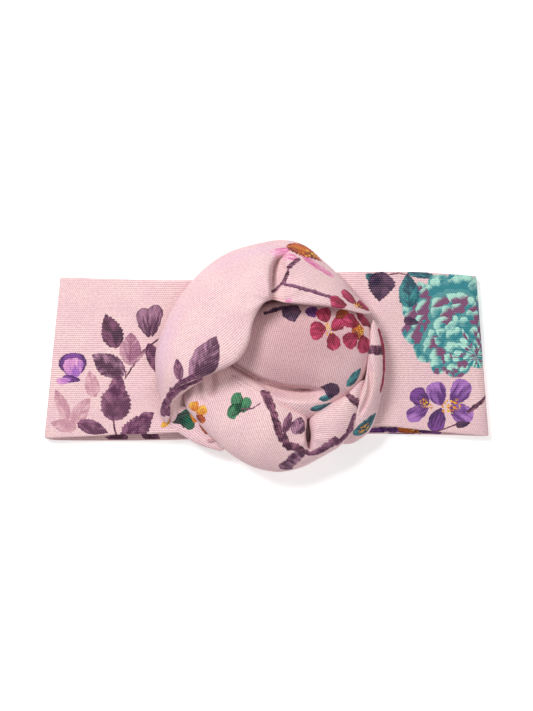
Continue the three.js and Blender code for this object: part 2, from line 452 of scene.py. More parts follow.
def smooth(points, count):
    """Catmull-Rom through the rows of points, at count even steps."""
    points = np.asarray(points, float)
    if points.ndim == 1:
        points = points[:, None]
    padded = np.vstack([2 * points[0] - points[1], points, 2 * points[-1] - points[-2]])
    at = np.linspace(0, len(points) - 1, count)
    start = np.minimum(at.astype(int), len(points) - 2)
    t = (at - start)[:, None]
    a, b, c, d = (padded[start + k] for k in range(4))
    return 0.5 * (2 * b + (c - a) * t + (2 * a - 5 * b + 4 * c - d) * t**2 + (3 * b - a - 3 * c + d) * t**3)


def step(value, low, high):
    """0 below low, 1 above high, and smooth between."""
    t = np.clip((value - low) / (high - low), 0, 1)
    return t * t * (3 - 2 * t)


def beside(points, line):
    """Each point's signed distance from a smooth line, positive on its right, and its share of the way along."""
    line = smooth(line, 90)
    start, way = line[:-1], np.diff(line, axis=0)
    length = np.maximum(np.linalg.norm(way, axis=1), 1e-9)
    best = np.full(len(points), np.inf)
    signed = np.zeros(len(points))
    share = np.zeros(len(points))
    for k in range(len(way)):
        offset = points - start[k]
        t = np.clip(offset @ way[k] / length[k] ** 2, 0, 1)
        gap = np.linalg.norm(offset - t[:, None] * way[k], axis=1)
        closer = gap < best
        cross = way[k][1] * offset[:, 0] - way[k][0] * offset[:, 1]
        best = np.where(closer, gap, best)
        signed = np.where(closer, np.sign(cross) * gap, signed)
        share = np.where(closer, (k + t) / len(way), share)
    return signed, share


def pleat(points, line, depth, edge=2.0, recover=14.0, roll=0.35, start_fade=0.15, end_fade=0.3):
    """How far a one-sided fold lowers each point: a rounded edge on the line's left, a drop on its right."""
    side, share = beside(points[:, :2], line)
    strength = step(share, 0, start_fade) * (1 - step(share, 1 - end_fade, 1)) if end_fade else step(share, 0, start_fade)
    rounding = np.clip((side + edge) / edge, 0, 1)
    rolled = 1 - np.sqrt(1 - rounding**2 * 0.98)
    dropped = 1 - step(side, 1, recover)
    over = step(side, -0.3, 0.7)
    return depth * strength * (rolled * roll * (1 - over) + dropped * over)


def groove(points, line, depth, width, fade=0.25):
    """How far a soft crease along a line lowers each point."""
    side, share = beside(points[:, :2], line)
    ends = step(share, 0, fade) * (1 - step(share, 1 - fade, 1))
    return depth * ends * np.exp(-((side / width) ** 2))


def ripples(points, centre, count, depth, near, far, turn=0.0):
    """Soft pleats that run out from a pinched point."""
    offset = points[:, :2] - np.asarray(centre, float)
    radius = np.linalg.norm(offset, axis=1)
    angle = np.arctan2(offset[:, 1], offset[:, 0])
    reach = step(radius, near * 0.3, near) * (1 - step(radius, near, far))
    return depth * reach * (0.5 - 0.5 * np.cos(count * angle + turn))


def rolling(points, seed, size, height):
    """Slow unevenness of soft cloth, as a sum of waves in seeded directions."""
    rng = np.random.default_rng(seed)
    total = np.zeros(len(points))
    for _ in range(7):
        way = rng.normal(size=3)
        way *= 2 * math.pi / (size * rng.uniform(0.7, 1.6)) / np.linalg.norm(way)
        total += np.sin(points @ way + rng.uniform(0, 2 * math.pi))
    return height * total / 3.5


# ---------------------------------------------------------------------------
# Meshes


def make_piece(name, points, faces, material, nodes=()):
    mesh = bpy.data.meshes.new(name)
    mesh.from_pydata((np.asarray(points) * MM).tolist(), [], faces)
    shape = bmesh.new()
    shape.from_mesh(mesh)
    bmesh.ops.recalc_face_normals(shape, faces=shape.faces)
    shape.to_mesh(mesh)
    shape.free()
    mesh.polygons.foreach_set("use_smooth", [True] * len(mesh.polygons))
    piece = bpy.data.objects.new(name, mesh)
    bpy.context.scene.collection.objects.link(piece)
    mesh.materials.append(material)
    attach(piece, "root")
    if nodes:
        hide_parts(*nodes)
    return piece


def tube_faces(rings, around, looped=False):
    """Quads between rings of points, and a cap at each end unless the rings close on themselves."""
    faces = []
    for r in range(rings if looped else rings - 1):
        here, there = r * around, ((r + 1) % rings) * around
        for k in range(around):
            n = (k + 1) % around
            faces.append((here + k, there + k, there + n, here + n))
    if not looped:
        faces.append(tuple(range(around)))
        faces.append(tuple((rings - 1) * around + k for k in reversed(range(around))))
    return faces


FINE = (170, 120, 34)  # sections along a fold, points over its crown and points on its underside
COARSE = (60, 34, 14)


def loft(stations, sculpt, end_round, counts, fullness):
    """A puffed fold of cloth between two edges.

    Each station is (outer edge x, y, z), (inner edge x, y, z), height of the crown, depth of the underside.
    sculpt is a function from the points to how far each one moves down. fullness is a power for each edge:
    the cloth turns over a lower one more tightly.
    """
    rings, over, below = counts
    outer, inner, crown, under = (smooth([s[k] for s in stations], rings) for k in range(4))
    along = np.linspace(0, 1, rings)
    taper = np.ones(rings)
    for share, reach in ((along, end_round[0]), (1 - along, end_round[1])):
        if reach:
            t = np.clip(share / reach, 0, 1)
            taper *= np.sqrt(np.clip(1 - (1 - t) ** 2, 0.0004, 1))
    top = np.linspace(0, math.pi, over)
    low = np.linspace(math.pi, 2 * math.pi, below + 2)[1:-1]
    phi = np.concatenate([top, low])
    across = (1 - np.cos(phi)) / 2
    power = fullness[0] + (fullness[1] - fullness[0]) * step(across, 0.3, 0.7)
    lift = np.where(phi <= math.pi, np.sin(phi).clip(0) ** power, 0)
    sink = np.where(phi > math.pi, np.abs(np.sin(phi)) ** 0.7, 0)
    middle = (outer + inner) / 2
    half = (inner - outer) / 2
    spread = (2 * across - 1)[None, :, None] * half[:, None, :] * taper[:, None, None]
    points = middle[:, None, :] + spread
    points[..., 2] += crown * lift[None, :] * taper[:, None] - under * sink[None, :] * taper[:, None]
    flat = points.reshape(-1, 3)
    drop = sculpt(flat).reshape(rings, -1)
    weight = step(np.sin(phi), -0.05, 0.35)
    points[..., 2] -= drop * weight[None, :]
    return points


STRETCH_ROUNDS = 10
UNWRAP = "MINIMUM_STRETCH"


def lay_flat(piece, seam_edges):
    """Unwraps the piece's mesh along its seams into the cloth map."""
    mesh = piece.data
    for index in seam_edges:
        mesh.edges[index].use_seam = True
    layer = mesh.uv_layers.new(name=CLOTH_MAP)
    bpy.context.view_layer.objects.active = piece
    piece.select_set(True)
    bpy.ops.object.mode_set(mode="EDIT")
    bpy.ops.mesh.select_all(action="SELECT")
    bpy.ops.uv.unwrap(method=UNWRAP, iterations=STRETCH_ROUNDS, margin=0.0)
    bpy.ops.object.mode_set(mode="OBJECT")
    piece.select_set(False)
    return mesh.uv_layers[CLOTH_MAP]


def match_plan(mesh, wanted_faces):
    """Turns, scales and moves the cloth map so that it agrees best with x and y on the wanted faces."""
    layer = mesh.uv_layers[CLOTH_MAP]
    count = len(mesh.loops)
    uv = np.empty(count * 2)
    layer.data.foreach_get("uv", uv)
    uv = uv.reshape(-1, 2)
    vertex = np.empty(count, int)
    mesh.loops.foreach_get("vertex_index", vertex)
    places = np.empty(len(mesh.vertices) * 3)
    mesh.vertices.foreach_get("co", places)
    places = places.reshape(-1, 3) / MM
    loops = np.concatenate([np.arange(p.loop_start, p.loop_start + p.loop_total) for p in wanted_faces])
    have = uv[loops]
    want = places[vertex[loops]]
    corners = np.array([p.loop_indices[:3] for p in wanted_faces])
    a, b, c = (uv[corners[:, k]] for k in range(3))
    flat_area = np.abs((b[:, 0] - a[:, 0]) * (c[:, 1] - a[:, 1]) - (b[:, 1] - a[:, 1]) * (c[:, 0] - a[:, 0]))
    a, b, c = (places[vertex[corners[:, k]]] for k in range(3))
    real_area = np.linalg.norm(np.cross(b - a, c - a), axis=1)
    scale = math.sqrt(real_area.sum() / flat_area.sum())
    middle, target = have.mean(0), want[:, :2].mean(0)
    first, _, second = np.linalg.svd((have - middle).T @ (want[:, :2] - target))
    turn = first @ second
    uv = (uv - middle) @ turn * scale + target
    layer.data.foreach_set("uv", uv.ravel())
    return uv, vertex, places, loops


class Plan:
    """Finds the place on the flat cloth under a point of the plan."""

    def __init__(self, uv, vertex, places, loops):
        self.spots = places[vertex[loops]]
        self.flat = uv[loops]

    def under(self, x, y):
        gap = np.hypot(self.spots[:, 0] - x, self.spots[:, 1] - y)
        near = np.argsort(gap)[:12]
        best = near[np.argmax(self.spots[near, 2])]
        return self.flat[best]

    def frame(self, x, y, reach=2.5):
        """The flat place, and how far the cloth's x is turned there, in degrees."""
        ahead = self.under(x + reach, y) - self.under(x - reach, y)
        return self.under(x, y), math.degrees(math.atan2(ahead[1], ahead[0]))


def placed(plan, motifs):
    """Motifs given by their place in the plan, moved to their place on the flat cloth."""
    found = []
    for kind, centre, angle, *rest in motifs:
        spot, turn = plan.frame(*centre)
        found.append((kind, tuple(spot), angle + turn, *rest))
    return found


def fold_piece(name, stations, sculpt, motifs, row_angle, nodes=(), end_round=(0.06, 0.06), counts=FINE,
               fullness=(0.92, 0.92)):
    """A lofted fold with its own stretch of printed cloth."""
    points = loft(stations, sculpt, end_round, counts, fullness)
    rings, around = points.shape[:2]
    faces = tube_faces(rings, around)
    piece = make_piece(name, points.reshape(-1, 3), faces, None, nodes=nodes)
    mesh = piece.data
    seam_at = counts[1] + counts[2] // 2
    pairs = np.empty(len(mesh.edges) * 2, int)
    mesh.edges.foreach_get("vertices", pairs)
    pairs = pairs.reshape(-1, 2)
    ring, spot = pairs // around, pairs % around
    seam = np.all(spot == seam_at, axis=1) | np.all(ring == 0, axis=1) | np.all(ring == rings - 1, axis=1)
    lay_flat(piece, np.flatnonzero(seam).tolist())
    normals = np.empty(len(mesh.polygons) * 3)
    mesh.polygons.foreach_get("normal", normals)
    upward = normals.reshape(-1, 3)[:, 2] > 0.3
    wanted = [p for p, up in zip(mesh.polygons, upward) if up and len(p.vertices) == 4]
    plan = Plan(*match_plan(mesh, wanted))
    mesh.materials.clear()
    mesh.materials.append(cloth_material(name + "_cloth", placed(plan, motifs), row_angle))
    return piece


# ---------------------------------------------------------------------------
# The knot. z is the height above the surface that the band lies on.


def wrap_sculpt(points):
    fold = [(1.4, 20), (1.9, 30), (2.2, 38), (2.8, 44), (5, 49), (9.5, 51.4), (15, 49.8)]
    drop = pleat(points, fold, 8, edge=3, recover=13, start_fade=0.02, end_fade=0.5)
    drop += groove(points, [(x + 0.9, y) for x, y in fold[1:-1]], 3, 1.1, fade=0.3)
    drop += groove(points, [(-46, 2), (-30, 18), (-14, 38), (0, 50)], 1.0, 5)
    drop += ripples(points, (5, 27), 9, 1.2, 8, 34, turn=1.0)
    return drop + rolling(points, 1, 34, 0.5)


WRAP = [
    ((-52.5, -35, 15.5), (-49.5, -34, 16), 1.5, 1.5),
    ((-54.3, -25, 17), (-48.5, -23, 22), 4, 3),
    ((-55.8, -15, 18), (-45, -16.5, 28), 6, 6),
    ((-57, -6, 19), (-37, -12.8, 33), 8, 9),
    ((-56.3, 4, 19), (-26, -8.5, 36), 10, 12),
    ((-52.5, 15.5, 19), (-15, -3, 38), 11, 14),
    ((-44.5, 30, 19), (-9, 6, 39), 11, 15),
    ((-33, 43.5, 19), (-6.5, 17, 40), 11, 16),
    ((-20, 52.5, 19), (-2.5, 25, 40), 11, 16),
    ((-6, 57, 19), (2.5, 28, 40), 10.5, 16),
    ((8, 59.2, 19), (8.5, 26.8, 39), 10, 16),
    ((19.5, 56.5, 19), (15, 26.0, 38), 9.5, 16),
    ((30, 47.8, 19), (22, 25.4, 37), 9, 16),
    ((39, 38.8, 20), (31, 24.6, 35), 8, 15),
    ((47, 29.5, 21), (41, 22.8, 32), 5, 12),
    ((54.5, 21.8, 22), (52, 20.5, 27), 1.5, 5),
]

WRAP_PRINT = [
    ("wash", (-53, 4), 80, 74, 20, 0.5, LILAC_WASH),
    ("wash", (-10, 52), 25, 60, 14, 0.4, LILAC_WASH),
    ("leaf", (-31.2, -2.4), 50, 26, 14.5, 0.0, SHADED_PLUM),
    ("leaf", (-44.9, -7.4), 97, 12, 6.2, 0.0, PLUM),
    *stroke([(-43.6, -11.6), (-40.6, -12.6), (-37.6, -11.4)], 1.0, BARK),
    *stroke([(-37, -11), (-42.6, -13.4), (-47.4, -17.4), (-50.2, -22.6), (-51.6, -30)], 4.6, PLUM),
    ("petal", (7.6, 53), 200, 13, 6, 0.1, PINK),
    ("petal", (12, 50.2), 160, 10, 5, 0.1, PINK),
    ("petal", (23.5, 47.2), -52, 14, 5, 0.1, PINK),
    ("petal", (28, 44), -42, 15, 5, 0.1, PINK),
    ("leaf", (20, 53.4), -37, 21, 11, 0.35, RUST),
    ("stamens", (21, 52.4), 0, 12, 7, 3.0, GOLD),
    *stroke([(15.8, 49.6), (11.4, 45), (8.4, 36.6), (2.4, 31.6)], 3, BARK),
    *stroke([(8.6, 36), (16, 34.4), (25, 32.4), (34, 28.6)], 2.7, PLUM),
    ("petal", (42.4, 29.4), 118, 11, 9, 0.3, CRIMSON),
    ("petal", (37, 26.4), 170, 10, 8, 0.3, CRIMSON),
    ("petal", (49, 25.4), 10, 11, 9, 0.3, CRIMSON),
    ("stamens", (46.5, 25.4), 0, 8, 5, 3.0, GOLD),
    ("petal", (11, 27.4), 10, 6, 2.6, 0.1, PINK),
]


def hem_sculpt(points):
    return rolling(points, 7, 14, 0.25)


# The wrap's lower end curls over into a roll, with a pocket behind it.
HEM = [
    ((-33, -10.6, 32), (-31.6, -12.6, 31), 0.6, 0.6),
    ((-38, -12, 32), (-36.2, -15, 29), 1.8, 1.2),
    ((-44, -14.8, 30), (-41.4, -18.6, 26), 2.6, 1.6),
    ((-50, -18.6, 27), (-46, -22.4, 23), 3, 2),
    ((-54, -23.4, 22.5), (-48.8, -26, 20), 3, 2),
    ((-54.4, -29.6, 18.5), (-49.8, -30.6, 17.2), 2.4, 1.5),
    ((-52.8, -34.8, 15), (-50, -34.6, 14.6), 1, 0.8),
]

HEM_PRINT = [
    *stroke([(-33, -11.5), (-37.4, -13.4), (-43, -16.4), (-48.2, -20.4), (-51.4, -24.8), (-52.2, -30)], 5.4, PLUM),
]

POCKET = [
    ((-45.6, -18, 21), (-42, -18, 16), 0.8, 0.8),
    ((-48.6, -23.4, 19), (-43.8, -24, 14.6), 1.2, 1),
    ((-49.8, -29, 16.6), (-44.8, -30, 13.8), 1.4, 1),
    ((-49.6, -34.6, 14), (-46, -34.8, 13.4), 0.8, 0.6),
]


def dome_sculpt(points):
    fold = [(-24, 0), (-18, -3), (-10.7, -7.4), (-2.5, -11.9), (5.7, -14.7), (13.9, -16.3), (26.2, -16.6), (32, -16)]
    drop = pleat(points, fold, 10, edge=26, recover=8, roll=0.6, start_fade=0.02, end_fade=0.25)
    drop += groove(points, [(x, y - 0.7) for x, y in fold[:-1]], 6.5, 0.95, fade=0.12)
    return drop + rolling(points, 2, 40, 0.6)


DOME = [
    ((-20, 8, 20), (-22, -9, 20), 6, 6),
    ((-14, 19, 20), (-15, -16, 21), 11, 8),
    ((-2, 26, 20), (-4, -24, 22), 13, 9),
    ((10, 28, 20), (7, -29, 21), 14, 9),
    ((22, 28, 20), (20, -32.5, 20), 15.5, 9),
    ((34, 27, 19), (31, -27.5, 20), 15, 9),
    ((45, 24.5, 18), (43, -20.5, 19), 13, 8),
    ((52, 18, 17), (50.5, -10, 18), 9, 7),
    ((54, 11, 17), (53.5, 2, 18), 5, 5),
]

DOME_PRINT_AND_SHADE = [
    # The first two washes are painted shade, over the dome and towards its lower fold; the rest is print.
    ("wash", (20, 5), 0, 120, 60, 0.95, DOME_PAINTED_SHADE),
    ("wash", (14, -12), -8, 74, 22, 0.5, DOME_FOLD_PAINTED_SHADE),
    *stroke([(-0.6, 21.6), (4, 23.4), (9, 24.6)], 2.8, NAVY),
    ("leaf", (12.6, 21.6), -70, 10, 10.5, 0.1, NAVY),
    ("leaf", (23.6, 22.2), -60, 7, 7, 0.1, VIOLET_DARK),
    ("petal", (26.2, 13.2), 190, 9, 9.5, 0.3, CRIMSON),
    ("petal", (29.5, 20.6), 115, 9, 8.5, 0.3, CRIMSON),
    ("petal", (36, 16), 40, 8.5, 7.5, 0.3, CRIMSON),
    ("petal", (34, 7.6), -70, 9, 8.5, 0.3, CRIMSON),
    ("petal", (38.6, 21), 30, 8, 7, 0.4, RUST),
    ("leaf", (46.6, 13.4), 95, 13, 9, 0.3, RUST),
    ("petal", (43, 17.6), 140, 9.5, 9, 0.3, CRIMSON),
    ("petal", (43, 8.2), 215, 10, 10, 0.3, CRIMSON),
    ("petal", (50.2, 6), -75, 13, 13, 0.3, CRIMSON),
    ("petal", (50.4, 18), 50, 10, 13, 0.3, CRIMSON),
    ("stamens", (31.4, 13.2), 110, 8, 4, 3.0, GOLD),
    ("stamens", (48, 12.8), 90, 8, 6, 3.0, GOLD),
    ("leaf", (44.8, -11.2), 62, 13, 6, 0.1, TEAL),
    ("leaf", (31.4, -21.6), 15, 11, 4, 0.1, TEAL),
    ("leaf", (32.4, -18), 165, 11.5, 9, 0.15, NAVY),
    ("leaf", (28.6, -26.3), 24, 13, 4.4, 0.1, TEAL),
    *stroke([(-0.4, -19.4), (1.4, -24.6)], 6, BARK),
]


def lower_sculpt(points):
    drop = groove(points, [(-29, -7), (-28, -14), (-28.5, -22)], 3.4, 2.4)
    drop += groove(points, [(-36, -12), (-34.5, -18), (-33, -27)], 2.2, 2.2)
    drop += groove(points, [(-24, -0.2), (-18, -3.7), (-10.7, -8.2), (-2.5, -12.8), (3, -15.4)], 7, 1.4)
    drop += ripples(points, (22.5, -42), 5, 0.8, 4, 16, turn=0.6)
    return drop + rolling(points, 3, 32, 0.5)


LOWER = [
    ((-45, -23, 16), (-39, -10, 17), 4, 4),
    ((-38, -31, 17), (-28, -4, 17), 8, 6),
    ((-29, -41, 17), (-13, -1, 16), 10, 6),
    ((-18, -50.8, 17), (-3.5, -12.5, 20), 11, 7),
    ((-7, -57, 17), (7, -23.2, 25), 11, 7),
    ((4, -59.6, 17), (15, -27.4, 24), 10, 7),
    ((12, -59, 17), (20.4, -31.4, 23), 9, 6),
    ((19, -57, 16), (20, -40, 22), 8, 6),
    ((25, -54, 15), (21.4, -46.8, 19), 7, 5),
    ((31, -50.5, 17), (22.7, -41, 22), 8, 6),
    ((38, -46, 19), (22.4, -31.6, 22), 9, 6),
    ((45, -38, 19), (31, -25, 23), 9, 6),
    ((49.5, -28, 17), (41, -19.5, 26), 7, 6),
    ((52, -16, 18), (49, -10, 25), 4, 5),
]

LOWER_PRINT = [
    ("petal", (-14.4, -23.6), 122, 9.5, 7.5, 0.3, GREEN),
    ("petal", (-16.4, -28.4), 215, 9.5, 7, 0.3, GREEN),
    ("petal", (-10.2, -25), 60, 7.5, 5.5, 0.3, GREEN),
    *stroke([(-13, -27), (-7.4, -26.4), (-3.3, -23.8)], 0.8, BARK),
    *stroke([(18, -49.5), (14.4, -52.6), (10.6, -57)], 8.4, SHADED_PLUM),
    *stroke([(-0.4, -19.4), (1.4, -24.6)], 6, BARK),
    *stroke([(1.4, -24), (4, -31), (6.8, -38.6)], 4, BARK),
    *stroke([(6, -36.6), (8.2, -42), (11.4, -46.6)], 4.6, BARK),
    *stroke([(10.6, -45.4), (17, -47.6), (22.9, -50.4)], 5.6, BARK),
    *stroke([(22.4, -50.6), (28.4, -48.4), (33.8, -43.8)], 6.6, PLUM),
    ("leaf", (11, -33.4), 77, 11.5, 4.4, 0.0, PLUM),
    *stroke([(9.6, -38), (9, -43.5)], 0.8, BARK),
    ("leaf", (16.6, -35.8), 75, 9.5, 8.5, 0.0, SHADED_PLUM),
    *stroke([(41.6, -20), (45, -23.6), (48.4, -27.6)], 4.2, BARK),
    *stroke([(44, -31.5), (43, -37.6), (39.8, -42), (36.4, -44.8)], 4.4, PLUM),
    ("petal", (-37.4, -26.2), 115, 6.6, 6, 0.2, GOLD),
    ("petal", (-33.6, -28.6), 25, 6.6, 6, 0.2, GOLD),
    ("petal", (-34.2, -32.4), -50, 6, 5, 0.3, RUST),
]


def right_sculpt(points):
    drop = groove(points, [(52, 0), (52.6, -8), (52.4, -17.5), (50, -25), (46.6, -32.6)], 2.6, 1.1)
    return drop + rolling(points, 4, 28, 0.4)


RIGHT = [
    ((55.6, 18.5, 21), (53.4, 18, 22), 1.5, 2),
    ((59.6, 9, 19), (52.6, 8, 24), 4, 4),
    ((60.9, -1, 18), (51.6, -2, 25), 5.5, 5),
    ((60.6, -11, 18), (50.4, -11, 25), 6, 5),
    ((58.8, -21, 17), (47.6, -20, 24), 6, 4),
    ((56.4, -31, 16), (44.2, -29, 23), 5.5, 3),
    ((52.8, -39, 15), (41.4, -36, 21), 5, 2),
    ((46.4, -44, 14), (39, -41, 18), 3, 1.5),
    ((41, -46, 14), (37.6, -44.6, 16), 1.5, 1),
]

RIGHT_PRINT = [
    *stroke([(52.5, 3), (56, 2.8), (61, 2.4)], 6, BARK),
    *stroke([(58, 12), (59.8, 4), (60.4, -6), (59.2, -17)], 4.6, CRIMSON),
    ("leaf", (51.5, -35.6), 52, 17, 8, 0.1, TEAL),
    ("stamens", (50, -37.6), 50, 8, 5, 3.0, GOLD),
]


def tail_sculpt(points):
    return groove(points, [(-46, -33), (-34, -40), (-24, -46)], 0.8, 2.5) + rolling(points, 5, 20, 0.3)


TAIL = [
    ((-56, -37, 13), (-46, -25, 14.4), 1, 0.4),
    ((-46, -39.5, 12.8), (-36, -28, 14.8), 1.6, 0.6),
    ((-35, -45.8, 12.6), (-25, -34, 15), 2, 0.8),
    ((-22, -49.8, 12.4), (-15, -42, 15), 1.6, 0.8),
]

# The strip's first turns inside the knot. Their lower end shows through the pinch of the lower lobe.
CORE = [
    ((-12, 26, 15.5), (26, 28, 15.5), 3, 0.8),
    ((-22, 12, 15.5), (44, 12, 15.5), 4.5, 0.8),
    ((-20, -4, 15.5), (48, -4, 15.5), 4.5, 0.8),
    ((-6, -18, 15.5), (40, -18, 15.5), 3, 0.8),
    ((13, -29, 15.2), (30, -28, 15.2), 1, 0.8),
    ((15, -36, 14.8), (28, -34.5, 14.8), 0.8, 0.8),
    ((15.5, -42, 13.5), (27, -40, 13.5), 0.8, 1),
    ((16, -45.5, 12.5), (25.5, -44.5, 12.5), 0.8, 1),
    ((18, -48, 12), (24, -47.6, 12), 0.8, 1),
]

TAIL_PRINT = [
    ("petal", (-51.5, -33.4), 210, 8, 6, 0.2, GOLD),
    # These two green leaves are print, darkened with painted shade where they lie in the pocket.
    ("petal", (-43, -32), 20, 11, 7, 0.3, GREEN_WITH_PAINTED_SHADE),
    ("petal", (-41, -34.5), -30, 9, 5.5, 0.3, GREEN_WITH_PAINTED_SHADE),
    ("petal", (-35.6, -29.4), 60, 10, 8, 0.3, GOLD),
    ("petal", (-32, -36), -50, 9, 5, 0.3, RUST),
]

# ---------------------------------------------------------------------------
# The band: doubled cloth, joined into a loop and pressed flat

LOW_HALF, HIGH_HALF = 115.0, 107.8  # from the middle to an end fold, at the lower and at the upper edge
HIGH_SHIFT = 0.9  # the upper edge reaches further on the right
PRESSED = 12.0  # height of the flattened loop
CLOTH = 1.9  # both plies
RADIUS = (PRESSED - CLOTH) / 2  # of the end folds, to the middle of the cloth
FOLD_LENGTH = math.pi * RADIUS

# The band's edges: the upper one, and the lower one of the front and of the back half, which the knot
# draws apart.
UPPER_EDGE = [(-116, 39.7), (-104, 39.4), (-75, 38.5), (-40, 37.8), (0, 40), (45, 42.1), (78, 42.1), (98, 40.9), (116, 39.6)]
FRONT_EDGE = [(-118, -41.8), (-96, -41), (-75, -39.8), (-55, -39.2), (0, -36.5), (52, -35), (76, -37), (95, -39), (118, -41)]
BACK_EDGE = [(-118, -41.8), (-108, -43), (-76, -43.2), (-40, -42.6), (0, -41), (53, -39.7), (85, -40.1), (118, -41)]


def edge_at(points, x):
    line = smooth(points, 200)
    return np.interp(x, line[:, 0], line[:, 1])


def band_section(across_steps=70, edge_steps=7):
    """One ring round the doubled cloth: (-1 to 1 across the band, 1 on the outer face and -1 on the lining)."""
    face = np.linspace(-1, 1, across_steps)
    turn = np.radians(np.linspace(-90, 90, edge_steps + 2)[1:-1])
    outer = np.column_stack([face, np.ones(across_steps)])
    upper = np.column_stack([np.ones(edge_steps), -np.sin(turn)])
    lining = np.column_stack([face[::-1], -np.ones(across_steps)])
    lower = np.column_stack([-np.ones(edge_steps), np.sin(turn)])
    on_lining = np.r_[np.zeros(across_steps + edge_steps - 1), np.ones(across_steps + 1), np.zeros(edge_steps)]
    return np.vstack([outer, upper, lining, lower]), on_lining


def band_piece(section, fold_turns=26, run_steps=240):
    """The closed loop, ring by ring. Each ring crosses the band over both faces of the cloth."""
    stations = []
    for side in (1, -1):
        stations += [("fold", side, t) for t in np.linspace(-90, 90, fold_turns)[1:-1]]
        stations += [("run", side, t) for t in np.linspace(1, -1, run_steps)]
    bulge = np.sqrt(np.clip(1 - section[:, 1] ** 2, 0, 1))
    share = (section[:, 0] + 1) / 2
    reach = {way: LOW_HALF + (HIGH_HALF + way * HIGH_SHIFT - LOW_HALF) * share - PRESSED / 2 for way in (1, -1)}
    points, flat = [], []
    for kind, side, t in stations:
        if kind == "fold":
            angle = math.radians(t)
            out = RADIUS + section[:, 1] * CLOTH / 2
            x = side * (reach[side] + out * math.cos(angle))
            z = PRESSED / 2 + side * out * math.sin(angle)
            u = side * (reach[side] + RADIUS * (math.pi / 2 - side * angle))
            front = 0.5 + 0.5 * side * math.sin(angle)
        else:
            x = (reach[1] - reach[-1]) / 2 + side * t * (reach[1] + reach[-1]) / 2
            z = PRESSED / 2 + side * (RADIUS + section[:, 1] * CLOTH / 2)
            front = 1.0 if side > 0 else 0.0
            way = 1 if t < 0 else -1
            u = x if side > 0 else way * (2 * reach[way] + FOLD_LENGTH) - x
        low = front * edge_at(FRONT_EDGE, x) + (1 - front) * edge_at(BACK_EDGE, x)
        high = edge_at(UPPER_EDGE, x)
        y = low + (high - low) * share + bulge * np.sign(section[:, 0]) * CLOTH / 2
        points.append(np.column_stack([x, y, z]))
        flat.append(np.column_stack([u + 0 * y, y]))
    return np.array(points), np.array(flat)


LEFT_PRINT = [
    ("leaf", (-80, 12.7), 109, 18.6, 12.4, 0.22, DEEP_PLUM),
    ("leaf", (-81.8, -4.8), 148, 20, 13, 0.14, SHADED_PLUM),
    ("leaf", (-70, 3.6), 88, 17, 12, 0.0, MAUVE),
    ("petal", (-62.2, 16.8), 103, 15.5, 9, 0.75, SHADED_PLUM),
    ("petal", (-57.8, 17.8), 82, 17, 8.5, 0.75, SHADED_PLUM),
    *stroke([(-73, -12), (-68.2, -4.6), (-63, 2.8), (-52, 11)], 1.2, BARK),
    *stroke([(-67.8, -3.4), (-62.4, 2)], 2.0, MAUVE),
    *stroke([(-74.6, -6), (-72.4, -8.4), (-72.6, -11)], 0.8, BARK),
    ("leaf", (-58, -2), -72, 17, 7, 0.0, PLUM),
    ("leaf", (-76.9, -16.5), 80, 14, 9.5, 0.1, PLUM),
    ("leaf", (-77.4, -23.4), 77, 21, 17.6, 0.22, PLUM),
    *stroke([(-78.8, -33), (-78.4, -37), (-77.2, -42)], 1.2, BARK),
    ("petal", (-99.8, -5.4), 95, 13.5, 14.6, 0.9, VIOLET_DARK),
    ("petal", (-99.6, -6.8), 95, 11, 10.8, 0.1, LILAC),
    ("petal", (-100.6, -12.2), 172, 9.5, 4.2, 0.3, VIOLET_DARK),
    ("petal", (-104.4, -13.1), 186, 7.4, 3.8, 0.2, LILAC),
    ("leaf", (-90.1, -14.6), 100, 14, 8, 0.0, FAINT),
    ("leaf", (-105.6, -25.2), 112, 17, 6.6, 0.0, FAINT),
    ("leaf", (-95.6, -28.4), 56, 16, 8.6, 0.0, FAINT),
    ("leaf", (-104.8, -36.1), 170, 13.6, 7.2, 0.0, FAINT),
    ("leaf", (-89.5, -37.2), -17, 17, 8, 0.15, PLUM),
    ("leaf", (-66.4, -37.5), 38, 20, 14, 0.3, PLUM),
    ("leaf", (-69.4, -38.6), 70, 17, 9, 0.25, PLUM),
    ("leaf", (-61.6, -31.4), 25, 9, 6, 0.2, PLUM),
]

RIGHT_BAND_PRINT = [
    ("leaf", (54.4, 39.6), 150, 9, 6, 0.1, TEAL),
    ("leaf", (58.7, 35.4), -95, 15.5, 14.6, 0.2, NAVY),
    ("leaf", (80.5, 41.6), -8, 16, 4, 0.0, TEAL),
    ("bloom", (97, 17), 0, 57, 58, 4.6, AQUA),
    ("leaf", (73.1, 33.6), 93, 18, 11.4, 0.15, TEAL),
    ("petal", (74.6, 17.6), 170, 8, 4.6, 0.2, NAVY),
    *stroke([(63, 41.6), (68, 42.4), (73, 41.6)], 0.9, BARK),
    ("petal", (79.4, -21.8), 143, 11.5, 9.6, 0.2, VIOLET_DARK),
    ("petal", (78, -29.6), 203, 12.5, 8.6, 0.2, VIOLET),
    ("petal", (88.2, -33), 252, 13, 9.6, 0.3, VIOLET_DARK),
    ("petal", (88.2, -20), 112, 13, 10.6, 0.2, VIOLET),
    ("petal", (99.5, -19.2), 58, 14.5, 11.6, 0.1, VIOLET),
    ("petal", (100.2, -29.8), -34, 13.5, 11.4, 0.1, VIOLET),
    ("stamens", (82.4, -25.2), 140, 8.4, 5.4, 4.0, GOLD),
    ("stamens", (95.2, -26.2), 20, 12.5, 8.4, 4.0, GOLD),
    *stroke([(114, -21.2), (104.6, -28.9)], 2.6, BARK),
    ("leaf", (101.4, -35.4), 8, 8, 4, 0.1, NAVY),
    *stroke([(99, -35.2), (93, -37.4), (84, -40.5)], 1.0, BARK),
]

